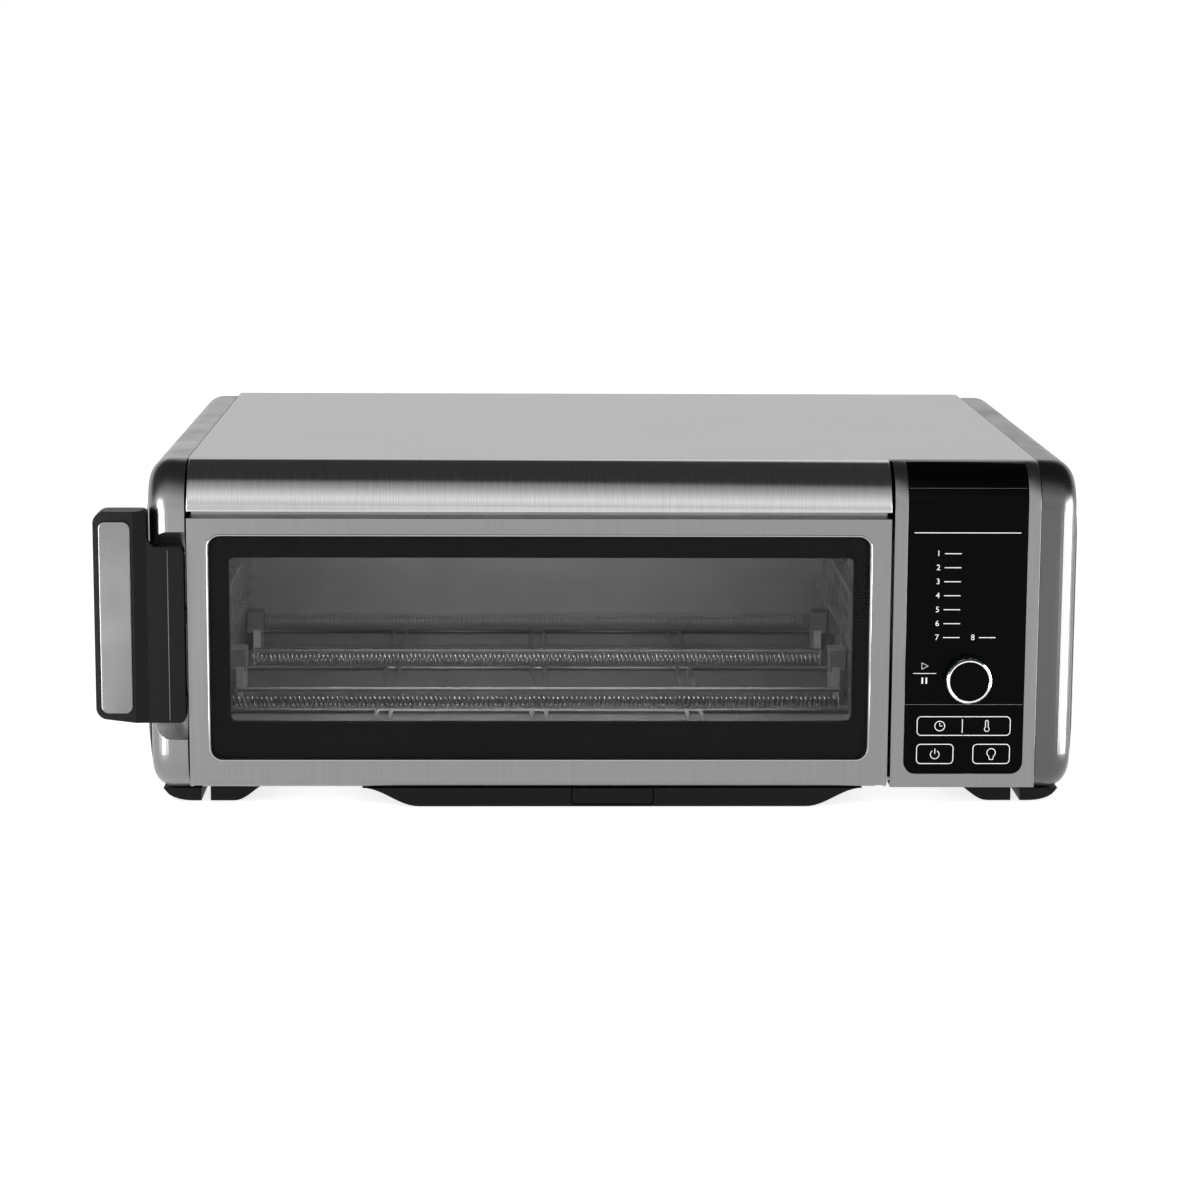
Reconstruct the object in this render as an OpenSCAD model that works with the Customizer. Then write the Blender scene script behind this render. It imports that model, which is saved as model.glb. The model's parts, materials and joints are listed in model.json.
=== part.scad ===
// Flip-up countertop toaster oven: a wide, low body with a drop-down glass door,
// a control strip on the right and a cleaning panel underneath.
// X runs to the right, Y to the back and Z up. The sizes below are laid out from the
// middle of the body, the plane of the door's face and the counter; in_frame() then
// moves the whole oven so that the origin is under the middle of its outline.

/* [Body] */
// Height of the top above the counter
body_h = 190; // [188:1:194]
// Depth from the door's face to the back panel
body_d = 357; // [350:1:362]
// Half the width between the two side frames
half_w = 231.3; // [231.3:0.5:232.8]
// How far each side frame stands out from the body
side_w = 20.7; // [19.7:0.5:22.7]
// How far the black side covers bulge past the side frames
cover_bulge = 3; // [3:0.5:6]
// Depth of the stands on the back
stand_d = 25; // [20:1:30]
// Radius of the rounded front of the top
hood_r = 25; // [24:0.5:26]
// Sheet thickness of the outer panels
sheet = 1.2; // [1:0.1:1.4]

/* [Door] */
// Left edge of the door
door_x0 = -230.2; // [-230.3:0.1:-230]
// Right edge of the door
door_x1 = 150; // [149.8:0.1:150.2]
// Height of the door's lower edge
door_z0 = 12.2; // [12:0.1:12.4]
// Gap between the door and the hood
door_gap = 3.6; // [3:0.2:4]
// Thickness of the door
door_t = 12; // [11.8:0.1:12.2]

/* [Handle] */
// How far the grip stands in front of the door
grip_out = 8; // [6:0.5:9]
// Height of the grip
grip_h = 113.4; // [110:0.2:117]
// Width of the grip
grip_w = 28; // [26:0.5:30]

/* [Controls] */
// Diameter of the dial
knob_d = 25; // [24:0.5:26]
// Height of the dial's centre
knob_z = 72.8; // [71:0.2:74]
// Travel of each button
button_travel = 1; // [0.8:0.1:1.2]

/* [Oven] */
// Radius of each quartz heater
tube_r = 5.5; // [5:0.5:6]
// Radius of the convection fan
fan_r = 48; // [42:1:50]

/* [Hidden] */
$fn = 48;
eps = 0.01;
run_gap = 0.05;

// Outline of the whole oven
handle_x0 = door_x0 - 21.2 - grip_w;
cover_x = half_w + side_w + cover_bulge;
front_y = -grip_out;
rear_y = body_d + stand_d;
frame_mid = [(handle_x0 + cover_x) / 2, (front_y + rear_y) / 2, 0];

// Side frames
frame_y0 = 2;
frame_z0 = 8;
rail = 18;
edge_r = 12;
lower_r = 22;

// Door
hood_z = body_h - 26;
door_z1 = hood_z - door_gap;
door_mid = (door_x0 + door_x1) / 2;
hinge_y = 6.5;
hinge_z = 24;
hinge_r = 2.5;
ear_r = 5;
lip_r = 4;
glass_x0 = door_x0 + 11.4;
glass_x1 = door_x1 - 11.1;
glass_z0 = door_z0 + 15.7;
glass_z1 = door_z1 - 9.5;
glass_y0 = 1;
glass_t = 3;
window_x0 = glass_x0 + 10.5;
window_x1 = glass_x1 - 8.4;
window_z0 = glass_z0 + 19.4;
window_z1 = glass_z1 - 12.3;
ear_x0 = door_x0 + 2.2;
ear_w = 3.8;

// Handle
grip_z0 = 51.6;
grip_r = 6.5;
grip_flank = 21.4;
arm_y0 = -3;
notch_r = 8;
grip_back = 9.5;
arm_x1 = door_x0 - 1.5;
arm_z0 = 48.9;
arm_z1 = 145.1;
boss_z = [107, 59.75];

// Control strip
strip_x0 = 151.9;
strip_x1 = half_w - 0.3;
strip_y = 1.5;
strip_z0 = 12;
strip_t = 2.5;
lens_x0 = strip_x0 + 7.2;
lens_x1 = strip_x1 - 6.8;
lens_z0 = 19.7;
lens_in = 0.3;
lens_t = 1.05;
lens_back = 21;
knob_x = 193;
button_r = 2.5;
button_gap = 0.25;
time_x = [165.9, 191.25];
temp_x = [191.55, 217.5];
upper_z = [40.8, 51.8];
power_x = [165.9, 186.5];
light_x = [196.8, 217.5];
lower_z = [25, 36.4];
board_y = 16;

// Cavity
cav_x0 = -223;
cav_x1 = 143;
cav_y1 = 325;
cav_z0 = 24;
cav_z1 = 165;
liner = 0.8;
cav_mid = (cav_x0 + cav_x1) / 2;
mouth_y = 13;
sill_y = 20.5;
heater_y = [35, 163, 287];
low_z = 53;
high_z = 150;
guard_z = 41;
guard_y = [[24, 66], [128, 194], [249, 317]];
guard_x = 175;
rung_x = [-87.5, 0, 87.5];

// Fan
fan_y = 200;
fan_z = 98;
shaft_r = 2.5;
bulkhead_x = 166;

// Underside
base_z = 12;
panel_z0 = 1;
panel_z1 = 11.3;
panel_y0 = 3;
panel_y1 = 333;
panel_top = 137;
panel_low = 106;
panel_hinge = [340, 6];
latch_w = 44.6;

// Places on the back wall and the back panel
lamp = [105, 143];
probe = [-150, 140];
gland = [195, 42];
pad_t = 0.8;

module in_frame() {
    translate([-frame_mid[0], -frame_mid[1], 0]) children();
}

// A box between two corners
module block(a, b) {
    translate(a) cube(b - a);
}

// Extrudes an outline drawn in Y and Z
module along_x(x0, x1) {
    translate([x0, 0, 0]) rotate([90, 0, 90]) linear_extrude(x1 - x0) children();
}

// Extrudes an outline drawn in X and Z
module along_y(y0, y1) {
    translate([0, y1, 0]) rotate([90, 0, 0]) linear_extrude(y1 - y0) children();
}

// A rod along X, or one along Y
module rod_x(x0, x1, y, z, r) {
    translate([x0, y, z]) rotate([0, 90, 0]) cylinder(h = x1 - x0, r = r);
}

module rod_y(y0, y1, x, z, r) {
    translate([x, y1, z]) rotate([90, 0, 0]) cylinder(h = y1 - y0, r = r);
}

// A rectangle between two corners, with round corners
module rounded(a, b, r) {
    translate(a + [r, 0]) square([b[0] - a[0] - 2 * r, b[1] - a[1]]);
    translate(a + [0, r]) square([b[0] - a[0], b[1] - a[1] - 2 * r]);
    for (x = [a[0] + r, b[0] - r], z = [a[1] + r, b[1] - r])
        translate([x, z]) circle(r);
}

// A sheet that rises from z0 and bends over backwards to z1
module bent_sheet(y0, z0, z1, r, t) {
    difference() {
        union() {
            translate([y0, z0]) square([r, z1 - r - z0]);
            intersection() {
                translate([y0 + r, z1 - r]) circle(r, $fn = 96);
                translate([y0, z1 - r]) square(r);
            }
        }
        translate([y0 + t, z0 - 1]) square([r, z1 - r - z0 + 1]);
        translate([y0 + r, z1 - r]) circle(r - t, $fn = 96);
    }
}

// Cross-section of a side frame, from its outer face inwards, with a round outer edge
module frame_section() {
    polygon(concat([[-rail, side_w], [-rail, 0], [0, 0]],
        [for (a = [0:9:90])
            [edge_r * (cos(a) - 1), side_w - edge_r + edge_r * sin(a)]]));
}

module frame_run(length, turn) {
    rotate([turn, 0, 0]) rotate([90, 0, 90]) rotate([90, 0, 90])
        linear_extrude(length) children();
}

module frame_corner(y, z, r, turn) {
    translate([0, y, z]) rotate([90, 0, 90]) rotate([0, 0, turn])
        rotate_extrude(angle = 90) translate([r, 0]) children();
}

// The loop that frames one side, on the right of the body
module frame_loop() {
    back = body_d - lower_r;
    low = frame_z0 + lower_r;
    front = frame_y0 + lower_r;
    top_y = frame_y0 + hood_r;
    translate([half_w, 0, 0]) {
        translate([0, top_y, body_h]) frame_run(back - top_y, 0) frame_section();
        translate([0, frame_y0, low]) frame_run(body_h - hood_r - low, 90) frame_section();
        translate([0, back, frame_z0]) frame_run(back - front, 180) frame_section();
        translate([0, body_d, body_h - lower_r])
            frame_run(body_h - lower_r - low, 270) frame_section();
        frame_corner(top_y, body_h - hood_r, hood_r, 90) frame_section();
        frame_corner(back, body_h - lower_r, lower_r, 0) frame_section();
        frame_corner(back, low, lower_r, 270) frame_section();
        frame_corner(front, low, lower_r, 180) frame_section();
    }
}

module side_frame_right() {
    color("silver") in_frame() frame_loop();
}

// The left frame is scooped out behind the handle's arm, with ends that run out softly
module side_frame_left() {
    scoop = [38.4, 152.7];
    depth = 5;
    r = 20;
    sag = r - sqrt(r * r - (r - depth) * (r - depth));
    color("silver") in_frame() mirror([1, 0, 0]) difference() {
        frame_loop();
        along_x(half_w - 1, half_w + side_w + 1)
            rounded([frame_y0 + depth - 2 * r - 1, scoop[0] - sag],
                [frame_y0 + depth, scoop[1] + sag], r);
    }
}

// A black side cover: a plug inside the frame and a bulged skin, hollow from the
// inside, with rows of vents
module side_cover() {
    x0 = half_w + side_w;
    low = [frame_y0 + rail + 0.3, frame_z0 + rail + 0.3];
    high = [body_d - rail - 0.3, body_h - rail - 0.3];
    skin_low = [17, 22];
    skin_high = [body_d - 15, body_h - 22];
    slope = [9, 9];
    difference() {
        union() {
            along_x(x0 - 6, x0 + 0.2) rounded(low, high, 8);
            hull() {
                along_x(x0 + 0.1, x0 + 1) rounded(skin_low, skin_high, 12, $fn = 32);
                along_x(x0 + 2, x0 + cover_bulge)
                    rounded(skin_low + slope, skin_high - slope, 12, $fn = 32);
            }
        }
        block([x0 - 7, low[0] + 3, low[1] + 3], [x0 - 1, high[0] - 3, high[1] - 3]);
        block([x0 - 2, skin_low[0] + 14, skin_low[1] + 14],
            [x0 + cover_bulge - 2.5, skin_high[0] - 14, skin_high[1] - 14]);
        for (i = [0:15])
            block([x0 - 7, 190 + 8 * i, 52], [x0 + cover_bulge + 1, 193.5 + 8 * i, 92]);
    }
}

module side_cover_right() {
    color("#262626") in_frame() side_cover();
}

module side_cover_left() {
    color("#262626") in_frame() mirror([1, 0, 0]) side_cover();
}

module top_cover() {
    edge = half_w - 0.2;
    y0 = hood_r + 0.2;
    y1 = body_d - sheet - 0.3;
    color("silver") in_frame() {
        block([-edge, y0, body_h - sheet], [edge, y1, body_h]);
        for (side = [-1, 1])
            block([side * (edge - 3) - sheet / 2, y0 + 6, body_h - 9],
                [side * (edge - 3) + sheet / 2, y1 - 6, body_h - sheet + eps]);
    }
}

module front_hood() {
    lip = 8;
    color("silver") in_frame() along_x(door_x0 + 0.2, door_x1) {
        bent_sheet(0, hood_z, body_h, hood_r, sheet);
        translate([0, hood_z]) square([lip, sheet]);
    }
}

module back_panel() {
    edge = half_w - 0.3;
    color("dimgray") in_frame() difference() {
        block([-edge, body_d - sheet, base_z], [edge, body_d, body_h - sheet]);
        for (i = [0:18])
            block([-117 + 12 * i, body_d - 3, 120], [-112 + 12 * i, body_d + 1, 160]);
        rod_y(body_d - 3, body_d + 1, gland[0], gland[1], 7.1);
    }
}

// Two stands on the back: they keep the oven off the wall and carry it when it is
// tipped up on its back
module rear_stands() {
    color("#262626") in_frame() for (side = [-1, 1]) translate([side * 160, 0, 0])
        difference() {
            along_x(-22, 22) polygon([[body_d, 18], [rear_y - 4, 24], [rear_y, 30],
                [rear_y, body_h - 32], [rear_y - 4, body_h - 26], [body_d, body_h - 14]]);
            for (z = [34, 72, 110])
                block([-17, body_d - 1, z], [17, rear_y - 3, z + 34]);
        }
}

module base_pan() {
    edge = half_w - 0.5;
    lug = [[99, 105], 10];
    color("dimgray") in_frame() {
        difference() {
            block([-edge, 22, base_z], [edge, body_d - 2, base_z + 1.4]);
            block([-100, 45, base_z - 1], [100, 315, base_z + 3]);
        }
        for (side = [-1, 1]) mirror([side < 0 ? 1 : 0, 0, 0]) {
            block([lug[0][0], panel_hinge[0] - 5, 2], [lug[0][1], panel_hinge[0] + 5, base_z + eps]);
            rod_x(86, lug[0][0] + eps, panel_hinge[0], panel_hinge[1], 2);
        }
    }
}

// Outline of a foot's inner half, seen from the front
function foot_curve(t) = [186 + 22 * t, base_z - 0.1 - 11.1 * (1 - cos(180 * t)) / 2];

module feet() {
    spans = [[18, 62], [292, 338]];
    color("#202020") in_frame() for (side = [0, 1]) mirror([side, 0, 0])
        for (span = spans) {
            along_y(span[0], span[1]) polygon(concat(
                [for (i = [0:10]) foot_curve(i / 10)],
                [[221, pad_t], [221, base_z - 0.1]]));
            along_y(span[0], span[1]) polygon(concat(
                [[226, frame_z0 - 0.1], [226, pad_t]],
                [for (a = [0:15:75]) [231 + 15 * sin(a), pad_t + 7 * (1 - cos(a))]],
                [[247, frame_z0 - 0.1]]));
        }
}

module foot_pads() {
    color("#111111") in_frame() for (side = [0, 1]) mirror([side, 0, 0])
        for (y = [24, 300])
            along_y(y, y + 32) rounded([209, 0], [220, pad_t], pad_t / 4);
}

// ---- Control strip ----

// Holes through the strip and its lens for the dial and the buttons
module control_holes() {
    rod_y(-2, 8, knob_x, knob_z, knob_d / 2 + 0.7);
    along_y(-2, 8) {
        hole(time_x[0], temp_x[1], upper_z);
        hole(power_x[0], power_x[1], lower_z);
        hole(light_x[0], light_x[1], lower_z);
    }
}

module hole(x0, x1, z) {
    rounded([x0 - button_gap, z[0] - button_gap], [x1 + button_gap, z[1] + button_gap],
        button_r + button_gap);
}

module lens_outline(margin) {
    rounded([lens_x0 - margin, lens_z0 - margin], [lens_x1 + margin, body_h + 12], 6.5);
}

module lens_body(margin, y0, t) {
    r = hood_r - y0;
    intersection() {
        along_x(lens_x0 - margin, lens_x1 + margin)
            bent_sheet(y0, lens_z0 - margin, body_h - hood_r + strip_y + r, r, t);
        along_y(-5, lens_back + margin) lens_outline(margin);
    }
}

module fascia() {
    r = hood_r - strip_y;
    color("silver") in_frame() difference() {
        along_x(strip_x0, strip_x1) {
            bent_sheet(strip_y, strip_z0, body_h, r, strip_t);
            translate([strip_y, strip_z0]) square([14, sheet]);
        }
        lens_body(0.15, strip_y - 1, lens_in + lens_t + 1.05);
        control_holes();
    }
}

module fascia_lens() {
    color("#0b0b0b") in_frame() difference() {
        lens_body(0, strip_y + lens_in, lens_t);
        control_holes();
    }
}

module key_switch(x, z) {
    side = 3;
    block([x - side, board_y - 1.2, z - side], [x + side, board_y + eps, z + side]);
}
module control_board() {
    color("darkgreen") in_frame() {
        block([156, board_y, 22], [227, board_y + 1.6, 150]);
        for (x = [mid(time_x), mid(temp_x)])
            key_switch(x, mid(upper_z));
        for (x = [mid(power_x), mid(light_x)])
            key_switch(x, mid(lower_z));
    }
}

function mid(span) = (span[0] + span[1]) / 2;

module display_module() {
    color("#303030") in_frame() block([166, 7, 152], [217, board_y - 0.2, 164]);
}

module encoder_body() {
    bush_r = 5;
    color("slategray") in_frame() difference() {
        union() {
            block([knob_x - 6.5, 8, knob_z - 6.5], [knob_x + 6.5, board_y - 0.1, knob_z + 6.5]);
            rod_y(3, 8.1, knob_x, knob_z, bush_r);
        }
        rod_y(2, 13, knob_x, knob_z, 3.5 + run_gap);
    }
}

module encoder_plunger() {
    color("gainsboro") in_frame() difference() {
        rod_y(1, 10, knob_x, knob_z, 3.5);
        rod_y(0, 11, knob_x, knob_z, 3 + run_gap);
    }
}

module encoder_shaft() {
    color("gainsboro") in_frame() rod_y(-6, 10.5, knob_x, knob_z, 3);
}

module knob_ring() {
    r = knob_d / 2;
    color("silver") in_frame() translate([knob_x, 0.6, knob_z]) rotate([90, 0, 0])
        rotate_extrude($fn = 96) polygon([[r - 2, 0], [r, 0], [r, 7.6], [r - 1, 8.6],
            [r - 1.6, 8.6], [r - 2, 8.2]]);
}

module knob_cap() {
    r = knob_d / 2 - 2.05;
    color("#161616") in_frame() difference() {
        union() {
            rod_y(-7.6, -5.2, knob_x, knob_z, r);
            rod_y(-5.3, 0.4, knob_x, knob_z, 5);
        }
        rod_y(-6.05, 1, knob_x, knob_z, 3.02);
    }
}

// A button: cap in the lens, a rim behind the strip and a stem to its switch.
// rim_l and rim_r say how far the rim reaches past the cap on each side.
module button(x, z, rim_l, rim_r) {
    back = strip_y + strip_t;
    rim = 1;
    along_y(strip_y, back + 0.4) rounded([x[0], z[0]], [x[1], z[1]], button_r);
    block([x[0] - rim_l, back + 0.3, z[0] - rim], [x[1] + rim_r, back + 1.5, z[1] + rim]);
    block([mid(x) - 2.5, back + 1.4, mid(z) - 2.5],
        [mid(x) + 2.5, board_y - 1.4 - button_travel, mid(z) + 2.5]);
}

module time_button() {
    color("#0e0e0e") in_frame() button(time_x, upper_z, 1, 0);
}

module temp_button() {
    color("#0e0e0e") in_frame() button(temp_x, upper_z, 0, 1);
}

module power_button() {
    color("#0e0e0e") in_frame() button(power_x, lower_z, 1, 1);
}

module light_button() {
    color("#0e0e0e") in_frame() button(light_x, lower_z, 1, 1);
}

module power_board() {
    color("darkgreen") in_frame() {
        block([222, 60, 30], [223.6, 165, 140]);
        block([198, 70, 40], [222.1, 104, 76]);
        for (z = [96, 118]) block([206, 72, z], [222.1, 92, z + 16]);
        for (y = [112, 128]) rod_x(204, 222.1, y, 60, 6);
        block([210, 108, 92], [222.1, 150, 120]);
    }
}

module cord_gland() {
    color("#1a1a1a") in_frame() difference() {
        union() {
            rod_y(body_d - 8, body_d + 12, gland[0], gland[1], 7);
            rod_y(body_d, body_d + 3, gland[0], gland[1], 10);
            rod_y(body_d - 8, body_d - 4, gland[0], gland[1], 9);
        }
        rod_y(body_d - 9, body_d + 13, gland[0], gland[1], 3.7);
    }
}

// ---- Oven cavity ----

module side_wall(x0, inward) {
    color("gainsboro") in_frame() difference() {
        union() {
            along_x(x0, x0 + liner) polygon([[22, cav_z0], [cav_y1, cav_z0], [cav_y1, cav_z1],
                [mouth_y + 1.6, cav_z1], [mouth_y + 1.6, 38], [22, 38]]);
            for (z = [74, 104])
                ledge(x0, inward, z, 6, 3);
            ledge(x0, inward, cav_z0 + 0.8, 7, 1);
        }
        children();
    }
}

// A ledge along a side wall, for the rack or the crumb tray
module ledge(x0, inward, z, depth, height) {
    face = inward > 0 ? x0 + liner - eps : x0 + eps;
    block([min(face, face + inward * depth), 30, z], [max(face, face + inward * depth), 318, z + height]);
}

module cavity_left_wall() {
    side_wall(cav_x0 - liner, 1);
}

module cavity_right_wall() {
    pitch = 10;
    side_wall(cav_x1, -1)
        for (i = [-4:4], j = [-3:4]) if (norm([i, j - 0.5]) < 4.1)
            translate([cav_x1 - 2, fan_y + pitch * i, 85 + pitch * (j - 0.5)])
                perforation();
}

module perforation() {
    rotate([0, 90, 0]) cylinder(h = 4, r = 3, $fn = 6);
}

module cavity_back_wall() {
    color("gainsboro") in_frame() difference() {
        block([cav_x0, cav_y1, cav_z0], [cav_x1, cav_y1 + liner, cav_z1]);
        rod_y(cav_y1 - 1, cav_y1 + 2, lamp[0], lamp[1], 12);
        rod_y(cav_y1 - 1, cav_y1 + 2, probe[0], probe[1], 2.4);
    }
}

module cavity_ceiling() {
    color("gainsboro") in_frame() {
        block([cav_x0 - liner, mouth_y + 1.6, cav_z1 + eps],
            [cav_x1 + liner, cav_y1 + liner, cav_z1 + liner]);
        for (y = [75, 100, 225, 250])
            along_x(cav_x0 + 20, cav_x1 - 20) translate([y, cav_z1 + liner]) circle(1.2);
    }
}

// The flange round the mouth, stepped back at the sill to let the door swing
module cavity_front_frame() {
    x0 = cav_x0 - 6;
    x1 = cav_x1 + 6;
    color("gainsboro") in_frame() {
        block([x0, mouth_y, 157], [x1, mouth_y + 1.5, cav_z1 - 1.5]);
        block([x0, mouth_y, 38], [cav_x0, mouth_y + 1.5, 157 + eps]);
        block([cav_x1, mouth_y, 38], [x1, mouth_y + 1.5, 157 + eps]);
        block([cav_x0 - 0.5, sill_y, base_z + 1.5], [cav_x1 + 0.5, sill_y + 1.4, cav_z0]);
    }
}

module bulkhead() {
    color("lightgray") in_frame() difference() {
        block([bulkhead_x, 22, base_z + 1.5], [bulkhead_x + 1.2, body_d - 3, body_h - 10]);
        rod_x(bulkhead_x - 1, bulkhead_x + 3, fan_y, fan_z, 6);
    }
}

module heater_tubes() {
    color("lightsteelblue") in_frame() for (y = heater_y, z = [low_z, high_z]) difference() {
        rod_x(cav_x0 + 11, cav_x1 - 11, y, z, tube_r);
        rod_x(cav_x0 + 10, cav_x1 - 10, y, z, tube_r - 1);
    }
}

module heater_coils() {
    color("dimgray") in_frame() for (y = heater_y, z = [low_z, high_z])
        rod_x(cav_x0 + 12, cav_x1 - 12, y, z, 2.8);
}

module heater_end_caps() {
    half = 7;
    color("ivory") in_frame() for (y = heater_y, z = [low_z, high_z], side = [-1, 1]) {
        x = cav_mid + side * (cav_x1 - cav_mid - 5.5);
        block([x - 5.3, y - half, z - half], [x + 5.3, y + half, z + half]);
    }
}

// Under each lower heater lies a guard: two long rods and three pairs of rungs
module heater_guards() {
    rod = 1.6;
    rung = 1.3;
    color("lightgray") in_frame() for (span = guard_y) {
        for (y = span) rod_x(cav_mid - guard_x, cav_mid + guard_x, y, guard_z, rod);
        for (x = rung_x, dx = [-4, 4])
            rod_y(span[0], span[1], cav_mid + x + dx, guard_z, rung);
    }
}

module heater_brackets() {
    color("whitesmoke") in_frame() for (span = guard_y, side = [-1, 1]) {
        x = cav_mid + side * (guard_x + 0.6);
        block([x - 0.5, span[0], 31], [x + 0.5, span[1], 44]);
        block([min(x, x + side * 7), span[0], 30.2], [max(x, x + side * 7), span[1], 31 + eps]);
        block([min(x + side * 0.5, x - side * 4), span[0], 43],
            [max(x + side * 0.5, x - side * 4), span[0] + 1, 54]);
    }
}

module crumb_tray() {
    x0 = cav_x0 + 1.5;
    x1 = cav_x1 - 1.5;
    z0 = cav_z0 + 2;
    color("lightgray") in_frame() difference() {
        block([x0, 24, z0], [x1, 320, z0 + 4]);
        block([x0 + 1, 25, z0 + 1], [x1 - 1, 319, z0 + 5]);
    }
}

module insulation_blanket() {
    color("wheat") in_frame()
        block([cav_x0 + 2, 30, cav_z1 + 2.5], [cav_x1 - 2, cav_y1, cav_z1 + 13]);
}

// ---- Fan ----

module fan_motor() {
    x0 = bulkhead_x + 1.2;
    color("darkgray") in_frame() difference() {
        union() {
            rod_x(x0 + 4, x0 + 30, fan_y, fan_z, 26);
            for (dy = [-1, 1], dz = [-1, 1])
                rod_x(x0, x0 + 5, fan_y + 16 * dy, fan_z + 16 * dz, 3);
        }
        rod_x(x0 - 1, x0 + 31, fan_y, fan_z, shaft_r + run_gap);
    }
}

module impeller(x0, x1, r, hub, count, lean) {
    difference() {
        union() {
            rod_x(x0, x1, fan_y, fan_z, hub);
            for (i = [0:count - 1]) translate([0, fan_y, fan_z])
                rotate([360 * i / count, 0, 0]) translate([(x0 + x1) / 2, hub - 1, 0])
                    rotate([0, lean, 0])
                        block([(x0 - x1) / 2 + 1, 0, -0.5], [(x1 - x0) / 2 - 1, r - hub, 0.5]);
        }
        rod_x(x0 - 1, x1 + 1, fan_y, fan_z, shaft_r + 0.02);
    }
}

module convection_fan() {
    color("silver") in_frame() impeller(149, 162, fan_r, 8, 8, 0);
}

module cooling_fan() {
    color("#333333") in_frame() impeller(201, 212, 32, 7, 7, 25);
}

module motor_shaft() {
    color("gainsboro") in_frame() rod_x(148, 214, fan_y, fan_z, shaft_r);
}

// ---- Small internal parts ----

module oven_lamp() {
    color("gold") in_frame() {
        rod_y(cav_y1 + 2, body_d - 12, lamp[0], lamp[1], 7);
        rod_y(body_d - 12.1, body_d - 3, lamp[0], lamp[1], 10);
    }
}

module lamp_cover() {
    color("lightcyan") in_frame() {
        rod_y(cav_y1 - 4, cav_y1 - 0.1, lamp[0], lamp[1], 14);
        rod_y(cav_y1 - 0.2, cav_y1 + 1.5, lamp[0], lamp[1], 11.8);
    }
}

module temperature_probe() {
    color("gainsboro") in_frame() {
        rod_y(cav_y1 - 22, cav_y1 + 12, probe[0], probe[1], 2);
        rod_y(cav_y1 + 1, cav_y1 + 5, probe[0], probe[1], 5);
    }
}

module door_switch() {
    color("#303030") in_frame() block([144.2, 15, 118], [148.8, 35, 140]);
}

// The door's pivots: an ear beside each end of the cavity mouth
module hinge_ears() {
    ears = [ear_x0, 2 * door_mid - ear_x0 - ear_w];
    color("gray") in_frame() for (x = ears) difference() {
        union() {
            rod_x(x, x + ear_w, hinge_y, hinge_z, ear_r);
            block([x, hinge_y, hinge_z - ear_r], [x + ear_w, 45, hinge_z + ear_r]);
            block([x, 24, base_z + 1.4], [x + ear_w, 45, hinge_z - ear_r + eps]);
        }
        rod_x(x - 1, x + ear_w + 1, hinge_y, hinge_z, hinge_r + run_gap);
    }
}

module case_screws() {
    color("dimgray") in_frame() for (x = [-215, -75, 75, 215], z = [20, body_h - 8])
        rod_y(body_d + 0.02, body_d + 1.6, x, z, 3.4);
}

// ---- Door ----

module door_shape(inset) {
    y0 = inset;
    z0 = door_z0 + inset;
    z1 = door_z1 - inset;
    r = lip_r - inset;
    translate([y0 + r, z0]) square([door_t - y0 - r + (inset > 0 ? 1 : 0), z1 - z0]);
    translate([y0, z0 + r]) square([r + eps, z1 - z0 - r]);
    translate([y0 + r, z0 + r]) circle(r);
}

module door_frame() {
    cheek = ear_x0 + ear_w + 0.6;
    cheek_t = 1.2;
    screw_hole = 2.2;
    color("silver") in_frame() difference() {
        union() {
            difference() {
                along_x(door_x0, door_x1) door_shape(0);
                along_x(door_x0 + sheet, door_x1 - sheet) door_shape(sheet);
            }
            for (x = [cheek, 2 * door_mid - cheek - cheek_t])
                block([x, sheet - eps, door_z0 + sheet - eps], [x + cheek_t, 11.6, hinge_z + ear_r + 1]);
        }
        along_y(-1, sheet + 1)
            rounded([glass_x0 - 0.5, glass_z0 - 0.5], [glass_x1 + 0.5, glass_z1 + 0.5], 7);
        for (x = [ear_x0 - 0.4, 2 * door_mid - ear_x0 - ear_w - 0.4])
            block([x, sheet + 0.2, door_z0 - 1], [x + ear_w + 0.8, door_t + 1, door_z0 + 3]);
        rod_x(door_x0 - 1, door_x1 + 1, hinge_y, hinge_z, hinge_r + 0.02);
        for (z = boss_z) rod_x(door_x0 - 1, door_x0 + 3, 1.5 + sheet, z, screw_hole);
    }
}

module door_glass_outer() {
    color("lightgray", 0.4) in_frame() along_y(glass_y0, glass_y0 + glass_t)
        rounded([glass_x0, glass_z0], [glass_x1, glass_z1], 6.5);
}

// The black printed border on the back of the outer glass
module door_glass_mask() {
    y0 = glass_y0 + glass_t;
    color("#141414") in_frame() along_y(y0 + eps, y0 + 0.4) difference() {
        rounded([glass_x0 + 0.2, glass_z0 + 0.2], [glass_x1 - 0.2, glass_z1 - 0.2], 6.3);
        rounded([window_x0, window_z0], [window_x1, window_z1], 3.5);
    }
}

module door_glass_inner() {
    color("lightgray", 0.4) in_frame() along_y(7.4, 10.4)
        rounded([window_x0 - 6, window_z0 - 6], [window_x1 + 6, window_z1 + 6], 4);
}

module door_inner_frame() {
    low_x0 = ear_x0 + ear_w + 2.2;
    color("gray") in_frame() difference() {
        union() {
            along_y(10.6, door_t - 0.1)
                rounded([door_x0 + 1.4, hinge_z + ear_r + 1.4], [door_x1 - 1.4, door_z1 - 1.4], 3);
            block([low_x0, 10.6, door_z0 + 1.6],
                [2 * door_mid - low_x0, door_t - 0.1, hinge_z + ear_r + 4]);
        }
        along_y(9, door_t + 1) rounded([window_x0, window_z0], [window_x1, window_z1], 3.5);
    }
}

module door_hinge_pins() {
    pins = [door_x0 + 0.2, 2 * door_mid - door_x0 - 8];
    color("gainsboro") in_frame() for (x = pins)
        rod_x(x, x + 7.8, hinge_y, hinge_z, hinge_r);
}

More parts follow.
